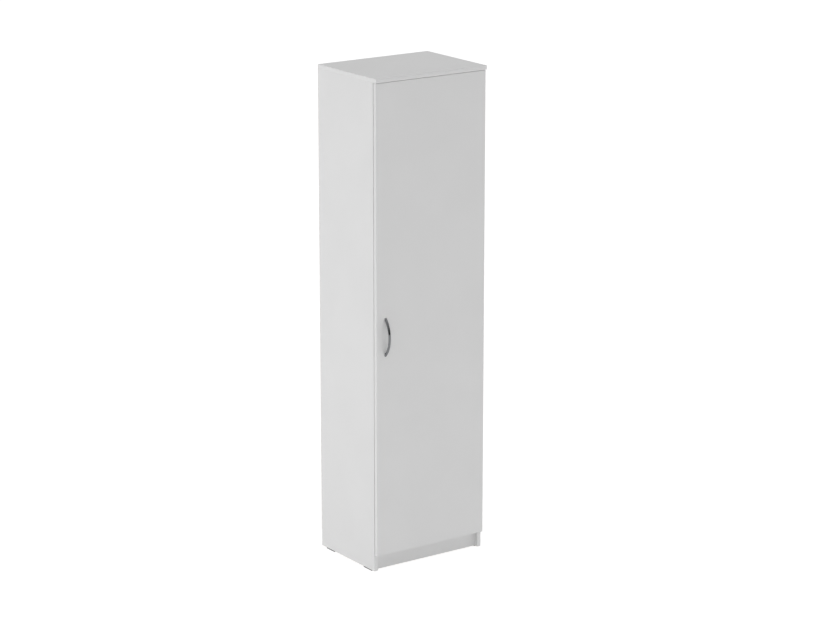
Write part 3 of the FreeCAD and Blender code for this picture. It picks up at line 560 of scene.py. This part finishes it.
# Turned beech looks pale tan and dry, with lines along each dowel, which lies along X or Z. They
# are drawn 1 mm thick, coarser than the real pores, so that they show.
beech, tree, place = new_material("turned_beech")
stretch = [1 / size for size in (BEECH_LONG, BEECH_THIN, BEECH_LONG)]
lengthways = add_node(tree, "Mapping", inputs={"Vector": place, "Scale": stretch})
grain = add_node(
    tree, "TexNoise", inputs={"Vector": lengthways.outputs[0], "Scale": 1.0, "Detail": 3.0}
)
tint = ramp(tree, grain.outputs["Fac"], (0.3, "#B98A5C"), (0.7, "#D6AE7E"))
finish_material(
    tree, {"Base Color": tint, "Roughness": 0.75}, grain.outputs["Fac"], height=0.05 * MM
)
dress("dowels", beech)
dress("cam_bolts", plated_steel)


def sink_cross(bm, face, arm, thick, deep):
    """Sinks a cross recess in a flat face; arm is half the cross and thick half an arm's width."""
    outward = face.normal.copy()
    turned = outward.to_track_quat("Z", "Y").to_matrix().to_4x4()
    seat = Matrix.Translation(face.calc_center_bounds()) @ turned
    corners = []
    for turn in range(4):
        quarter = seat @ Matrix.Rotation(turn * math.pi / 2, 4, "Z")
        for x, y in ((arm, -thick), (arm, thick), (thick, thick)):
            corners.append(bm.verts.new(quarter @ Vector((x, y, 0))))
    cross = bm.faces.new(corners)
    rim = list(face.edges)
    bmesh.ops.delete(bm, geom=[face], context="FACES_ONLY")
    bmesh.ops.triangle_fill(
        bm, use_beauty=True, use_dissolve=False, edges=list(cross.edges) + rim
    )
    sunk = bmesh.ops.extrude_face_region(bm, geom=[cross])["geom"]
    bmesh.ops.translate(bm, verts=of_kind(sunk, bmesh.types.BMVert), vec=-outward * deep)
    if cross.is_valid:
        bmesh.ops.delete(bm, geom=[cross], context="FACES_ONLY")


# The recess is in the end that shows, which faces inwards in a side panel and down in the bottom.
cams = merged_copy("cam_locks")
round_arrises(cams, CAM_ARRIS, steps=1)
for face in [face for face in cams.faces if face.calc_area() > CAM_DISC]:
    way = face.normal
    inwards = abs(way.x) > SQUARELY and way.x * face.calc_center_median().x < 0
    if inwards or way.z < -SQUARELY:
        sink_cross(cams, face, CAM_CROSS, CAM_CROSS_THICK, CAM_CROSS_DEEP)
new_piece("cam_drums", cams, cast_zinc, "carcass", "zinc", "cam_locks")


# ------------------------------------------------------------------ shelf pegs and plinth blocks
# Pressed steel pegs under the hat shelf, and corner blocks in off-white polystyrene behind the
# plinth, each held by two screws.
PEG_ARRIS, BLOCK_ARRIS = 0.35 * MM, 0.5 * MM
BLOCK_GRIT = 0.7 * MM
BLOCK_WALL = 3 * MM
BLOCK_SCREW_IN, BLOCK_SCREW_DOWN = 12 * MM, 18 * MM  # from a block's corner and from its top

# Moulded polystyrene looks a creamy white, smoother and glossier than the boards. Its grit is
# drawn several times coarser than the real one, so that it shows.
polystyrene, tree, place = new_material("moulded_polystyrene")
grit = add_node(tree, "TexNoise", inputs={"Vector": place, "Scale": 1 / BLOCK_GRIT, "Detail": 2.0})
tint = ramp(tree, grit.outputs["Fac"], (0.3, "#DEDCD4"), (0.7, "#E4E2DA"))
finish_material(
    tree, {"Base Color": tint, "Roughness": 0.4}, grit.outputs["Fac"], height=0.02 * MM
)
for node, name, arris, finish, slot in (
    ("shelf_pegs", "peg_angles", PEG_ARRIS, plated_steel, "plated_steel"),
    ("plinth_blocks", "corner_blocks", BLOCK_ARRIS, polystyrene, "block_plastic"),
):
    rounded = merged_copy(node)
    round_arrises(rounded, arris)
    new_piece(name, rounded, finish, "carcass", slot, node)

HEAD_SIDES = 24
HEAD_PROFILE = ((1.0, 0.3), (0.94, 0.72), (0.8, 1.0))  # shares of radius and rise, rim to crown


def cross_headed(radius, rise, sink, arm, thick, deep):
    """A round head that faces +Z, with a cross recess; it rises from Z 0 and is sunk below it."""
    bm = bmesh.new()
    corners = [(radius, -sink)] + [(radius * out, rise * up) for out, up in HEAD_PROFILE]
    profile = [bm.verts.new((out, 0, level)) for out, level in corners]
    bmesh.ops.spin(
        bm, geom=profile + [bm.edges.new(pair) for pair in zip(profile, profile[1:])],
        cent=(0, 0, 0), axis=(0, 0, 1), angle=math.tau, steps=HEAD_SIDES,
        use_merge=True, use_duplicate=False,
    )
    bmesh.ops.holes_fill(bm, edges=[edge for edge in bm.edges if edge.is_boundary], sides=0)
    bmesh.ops.recalc_face_normals(bm, faces=bm.faces)
    crown = max(bm.faces, key=lambda face: face.calc_center_median().z)
    sink_cross(bm, crown, arm, thick, deep)
    bmesh.ops.recalc_face_normals(bm, faces=bm.faces)
    small = bpy.data.meshes.new("head")
    bm.to_mesh(small)
    bm.free()
    return small


def repeated(small, seats):
    """A bmesh with a copy of a small mesh at each seat, which is a place and the way it faces."""
    bm = bmesh.new()
    for place, facing in seats:
        first = len(bm.verts)
        bm.from_mesh(small)
        bm.verts.ensure_lookup_table()
        turn = Vector(facing).to_track_quat("Z", "Y").to_matrix().to_4x4()
        bmesh.ops.transform(bm, matrix=Matrix.Translation(place) @ turn, verts=bm.verts[first:])
    return bm


BACK = (0, 1, 0)
WOOD_SCREW = cross_headed(
    radius=3.4 * MM, rise=0.9 * MM, sink=0.3 * MM, arm=1.9 * MM, thick=0.5 * MM, deep=0.8 * MM
)
block_low, block_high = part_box("plinth_blocks")
level = block_high.z - BLOCK_SCREW_DOWN
block_seats = []
for way, side_face, inward in ((-1, block_low.x, RIGHT), (1, block_high.x, LEFT)):
    behind_plinth = (side_face - way * BLOCK_SCREW_IN, block_low.y + BLOCK_WALL, level)
    beside_panel = (side_face - way * BLOCK_WALL, block_low.y + BLOCK_SCREW_IN, level)
    block_seats += [(behind_plinth, BACK), (beside_panel, inward)]
new_piece(
    "block_screws", repeated(WOOD_SCREW, block_seats), plated_steel, "carcass", "plated_steel"
)


# ------------------------------------------------------------------ hinges
# All nickel-plated: a cast cup let into the door, a bent arm on a plate on the side panel, and a
# pin through both. Zinc-plated screws with cross recesses hold them.
HINGE_ARRIS = 0.3 * MM
NICKEL_CLOUD = 5.0 * MM
WING_SCREW_RISE, EAR_SCREW_RISE = 16 * MM, 24 * MM  # screws above and below the hinge's middle
WING_LINE = 19 * MM  # behind the front end of the plate
WING_THICK = 2 * MM
SLOT_LINE, ADJUSTER_LINE = 61 * MM, 44 * MM  # behind the front end of the arm

# Nickel plate looks a warm silver, with a blurred image of what stands round it.
nickel, tree, place = new_material("nickel_plated_steel")
cloud = add_node(
    tree, "TexNoise", inputs={"Vector": place, "Scale": 1 / NICKEL_CLOUD, "Detail": 3.0}
)
tint = ramp(tree, cloud.outputs["Fac"], (0.3, "#C1BDB5"), (0.7, "#C9C5BD"))
rough = add_node(
    tree, "MapRange", inputs={"Value": cloud.outputs["Fac"], "To Min": 0.27, "To Max": 0.33}
)
finish_material(
    tree, {"Base Color": tint, "Metallic": 1.0, "Roughness": rough.outputs["Result"]}
)
dress("hinge_pins", nickel)

wing_seats, arm_seats, ear_seats = [], [], []
for number in (1, 2, 3):
    for part, body in (("plate", "carcass"), ("arm", "carcass"), ("cup", "door")):
        hinge_part = f"hinge_{part}_{number}"
        rounded = merged_copy(hinge_part)
        round_arrises(rounded, HINGE_ARRIS)
        new_piece(f"{part}_{number}", rounded, nickel, body, "nickel_steel", hinge_part)
    plate_low, plate_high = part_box(f"hinge_plate_{number}")
    arm_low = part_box(f"hinge_arm_{number}")[0]
    cup_low, cup_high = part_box(f"hinge_cup_{number}")
    level = (plate_low.z + plate_high.z) / 2
    wing_x, wing_y = plate_high.x - WING_THICK, plate_low.y + WING_LINE
    ear_x = (cup_low.x + cup_high.x) / 2
    for way in (-1, 1):
        wing_seats.append(((wing_x, wing_y, level + way * WING_SCREW_RISE), LEFT))
        ear_seats.append(((ear_x, cup_high.y, level + way * EAR_SCREW_RISE), BACK))
    for line in (SLOT_LINE, ADJUSTER_LINE):
        arm_seats.append(((arm_low.x, arm_low.y + line, level), LEFT))

MACHINE_SCREW = cross_headed(
    radius=3.1 * MM, rise=1.0 * MM, sink=0.3 * MM, arm=1.8 * MM, thick=0.5 * MM, deep=0.9 * MM
)
new_piece("plate_screws", repeated(WOOD_SCREW, wing_seats), plated_steel, "carcass", "plated_steel")
new_piece("arm_screws", repeated(MACHINE_SCREW, arm_seats), plated_steel, "carcass", "plated_steel")
new_piece("cup_screws", repeated(WOOD_SCREW, ear_seats), plated_steel, "door", "plated_steel")


# ------------------------------------------------------------------ door buffers
# Small pads of pressed white felt, glued behind the free edge of the door near its top and its
# foot, where they meet the side panel and soften the knock.
BUFFER_ARRIS = 0.5 * MM
FUZZ = 0.4 * MM

# Pressed felt looks matt and soft, with a faint pale bloom at a glancing angle. Its fuzz is drawn
# many times thicker than the real hairs, so that it shows.
felt, tree, place = new_material("pressed_felt")
fuzz = add_node(tree, "TexNoise", inputs={"Vector": place, "Scale": 1 / FUZZ, "Detail": 5.0})
tint = ramp(tree, fuzz.outputs["Fac"], (0.3, "#CFCEC8"), (0.7, "#E3E2DD"))
finish_material(
    tree,
    {"Base Color": tint, "Roughness": 1.0, "Sheen Weight": 0.4},
    fuzz.outputs["Fac"],
    height=0.15 * MM,
)
pads = merged_copy("door_buffers")
round_arrises(pads, BUFFER_ARRIS)
new_piece("felt_pads", pads, felt, "door", "felt", "door_buffers")


# ------------------------------------------------------------------ handle
# A bow handle in polished, dark chrome: a crowned strip bent to an arc, its ends flat on the
# door over two round feet, with a screw into each from inside.
HANDLE_HOLES = 128 * MM  # from screw to screw
HANDLE_FOOT = 4 * MM  # radius of a foot
BOW_THICK = 4.6 * MM  # with the crown
BOW_CROWN = 2.4 * MM
BOW_ROUND = 0.6 * MM
BOW_SPARE = 0.05  # radians, turned past each end and then cut off at the door
BOW_STEPS, CROWN_STEPS, FOOT_SIDES = 48, 14, 32
HAZE = 9.0 * MM

# Polished chrome gives a dark, clear mirror image that a faint haze softens here and there.
chrome, tree, place = new_material("polished_chrome")
haze = add_node(tree, "TexNoise", inputs={"Vector": place, "Scale": 1 / HAZE, "Detail": 3.0})
rough = add_node(
    tree, "MapRange", inputs={"Value": haze.outputs["Fac"], "To Min": 0.07, "To Max": 0.13}
)
finish_material(
    tree,
    {"Base Color": linear("#797B7D"), "Metallic": 1.0, "Roughness": rough.outputs["Result"]},
)

handle_low, handle_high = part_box("handle")
door_low, door_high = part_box("door_panel")
door_face, door_back = door_low.y, door_high.y
handle_x, handle_z = (handle_low.x + handle_high.x) / 2, (handle_low.z + handle_high.z) / 2
half_long, reach = (handle_high.z - handle_low.z) / 2, door_face - handle_low.y
half_wide = (handle_high.x - handle_low.x) / 2
bow_radius = (half_long ** 2 + reach ** 2) / (2 * reach)
bow_centre = Vector((handle_x, handle_low.y + bow_radius, handle_z))
half_sweep = math.asin(half_long / bow_radius) + BOW_SPARE

# The section lies flat at the middle of the bow: a low half-round crown on short square sides.
bow = bmesh.new()
bmesh.ops.spin(
    bow, geom=[bow.verts.new((half_wide, 0, 0))], cent=(0, 0, 0), axis=(0, 0, -1), angle=math.pi,
    steps=CROWN_STEPS, use_duplicate=False,
)
bmesh.ops.scale(bow, vec=(1, BOW_CROWN / half_wide, 1), verts=bow.verts)
ends = [vert for vert in bow.verts if len(vert.link_edges) == 1]
feet = bmesh.ops.extrude_vert_indiv(bow, verts=ends)["verts"]
bmesh.ops.translate(bow, vec=(0, BOW_THICK - BOW_CROWN, 0), verts=feet)
bmesh.ops.contextual_create(bow, geom=feet)
bmesh.ops.edgeloop_fill(bow, edges=bow.edges)
bmesh.ops.bevel(
    bow, geom=feet, offset=BOW_ROUND, segments=3, profile=0.5, affect="VERTICES",
    clamp_overlap=True, material=-1,
)
bmesh.ops.translate(bow, vec=(handle_x, handle_low.y + BOW_CROWN, handle_z), verts=bow.verts)

# It is turned back to one end, spun to the other, and cut off flat at the door.
bmesh.ops.rotate(
    bow, cent=bow_centre, matrix=Matrix.Rotation(-half_sweep, 3, "X"), verts=bow.verts
)
bmesh.ops.spin(
    bow, geom=bow.verts[:] + bow.edges[:] + bow.faces[:], cent=bow_centre, axis=(1, 0, 0),
    angle=2 * half_sweep, steps=BOW_STEPS, use_duplicate=False,
)
bmesh.ops.bisect_plane(
    bow, geom=bow.verts[:] + bow.edges[:] + bow.faces[:], plane_co=(0, door_face, 0),
    plane_no=BACK, clear_outer=True,
)
bmesh.ops.holes_fill(bow, edges=[edge for edge in bow.edges if edge.is_boundary], sides=0)

# Each foot is a round stud that ends inside the strip's thickness.
foot_top = bow_radius - BOW_THICK / 2
screw_seats = []
for way in (-1, 1):
    screw_z = handle_z + way * HANDLE_HOLES / 2
    screw_seats.append(((handle_x, door_back, screw_z), BACK))
    foot_seat = Matrix.Translation((handle_x, door_face - reach / 2, screw_z))
    stud = bmesh.ops.create_cone(
        bow, cap_ends=True, segments=FOOT_SIDES, radius1=HANDLE_FOOT, radius2=HANDLE_FOOT,
        depth=reach, matrix=foot_seat @ Matrix.Rotation(math.pi / 2, 4, "X"),
    )["verts"]
    lean = math.asin(way * HANDLE_HOLES / 2 / foot_top)
    outward = Vector((0, -math.cos(lean), math.sin(lean)))
    faces = list(dict.fromkeys(face for vert in stud for face in vert.link_faces))
    trimmed = bmesh.ops.bisect_plane(
        bow, geom=stud + edges_at(stud) + faces, plane_co=bow_centre + outward * foot_top,
        plane_no=outward, clear_outer=True,
    )["geom_cut"]
    bmesh.ops.holes_fill(bow, edges=of_kind(trimmed, bmesh.types.BMEdge), sides=0)
bmesh.ops.recalc_face_normals(bow, faces=bow.faces)
new_piece("bow_handle", bow, chrome, "door", "handle_chrome", "handle")

HANDLE_SCREW = cross_headed(
    radius=3.9 * MM, rise=2.1 * MM, sink=0, arm=2.1 * MM, thick=0.55 * MM, deep=1.2 * MM
)
new_piece(
    "handle_screw_heads", repeated(HANDLE_SCREW, screw_seats), plated_steel, "door", "plated_steel",
    "handle_screws",
)
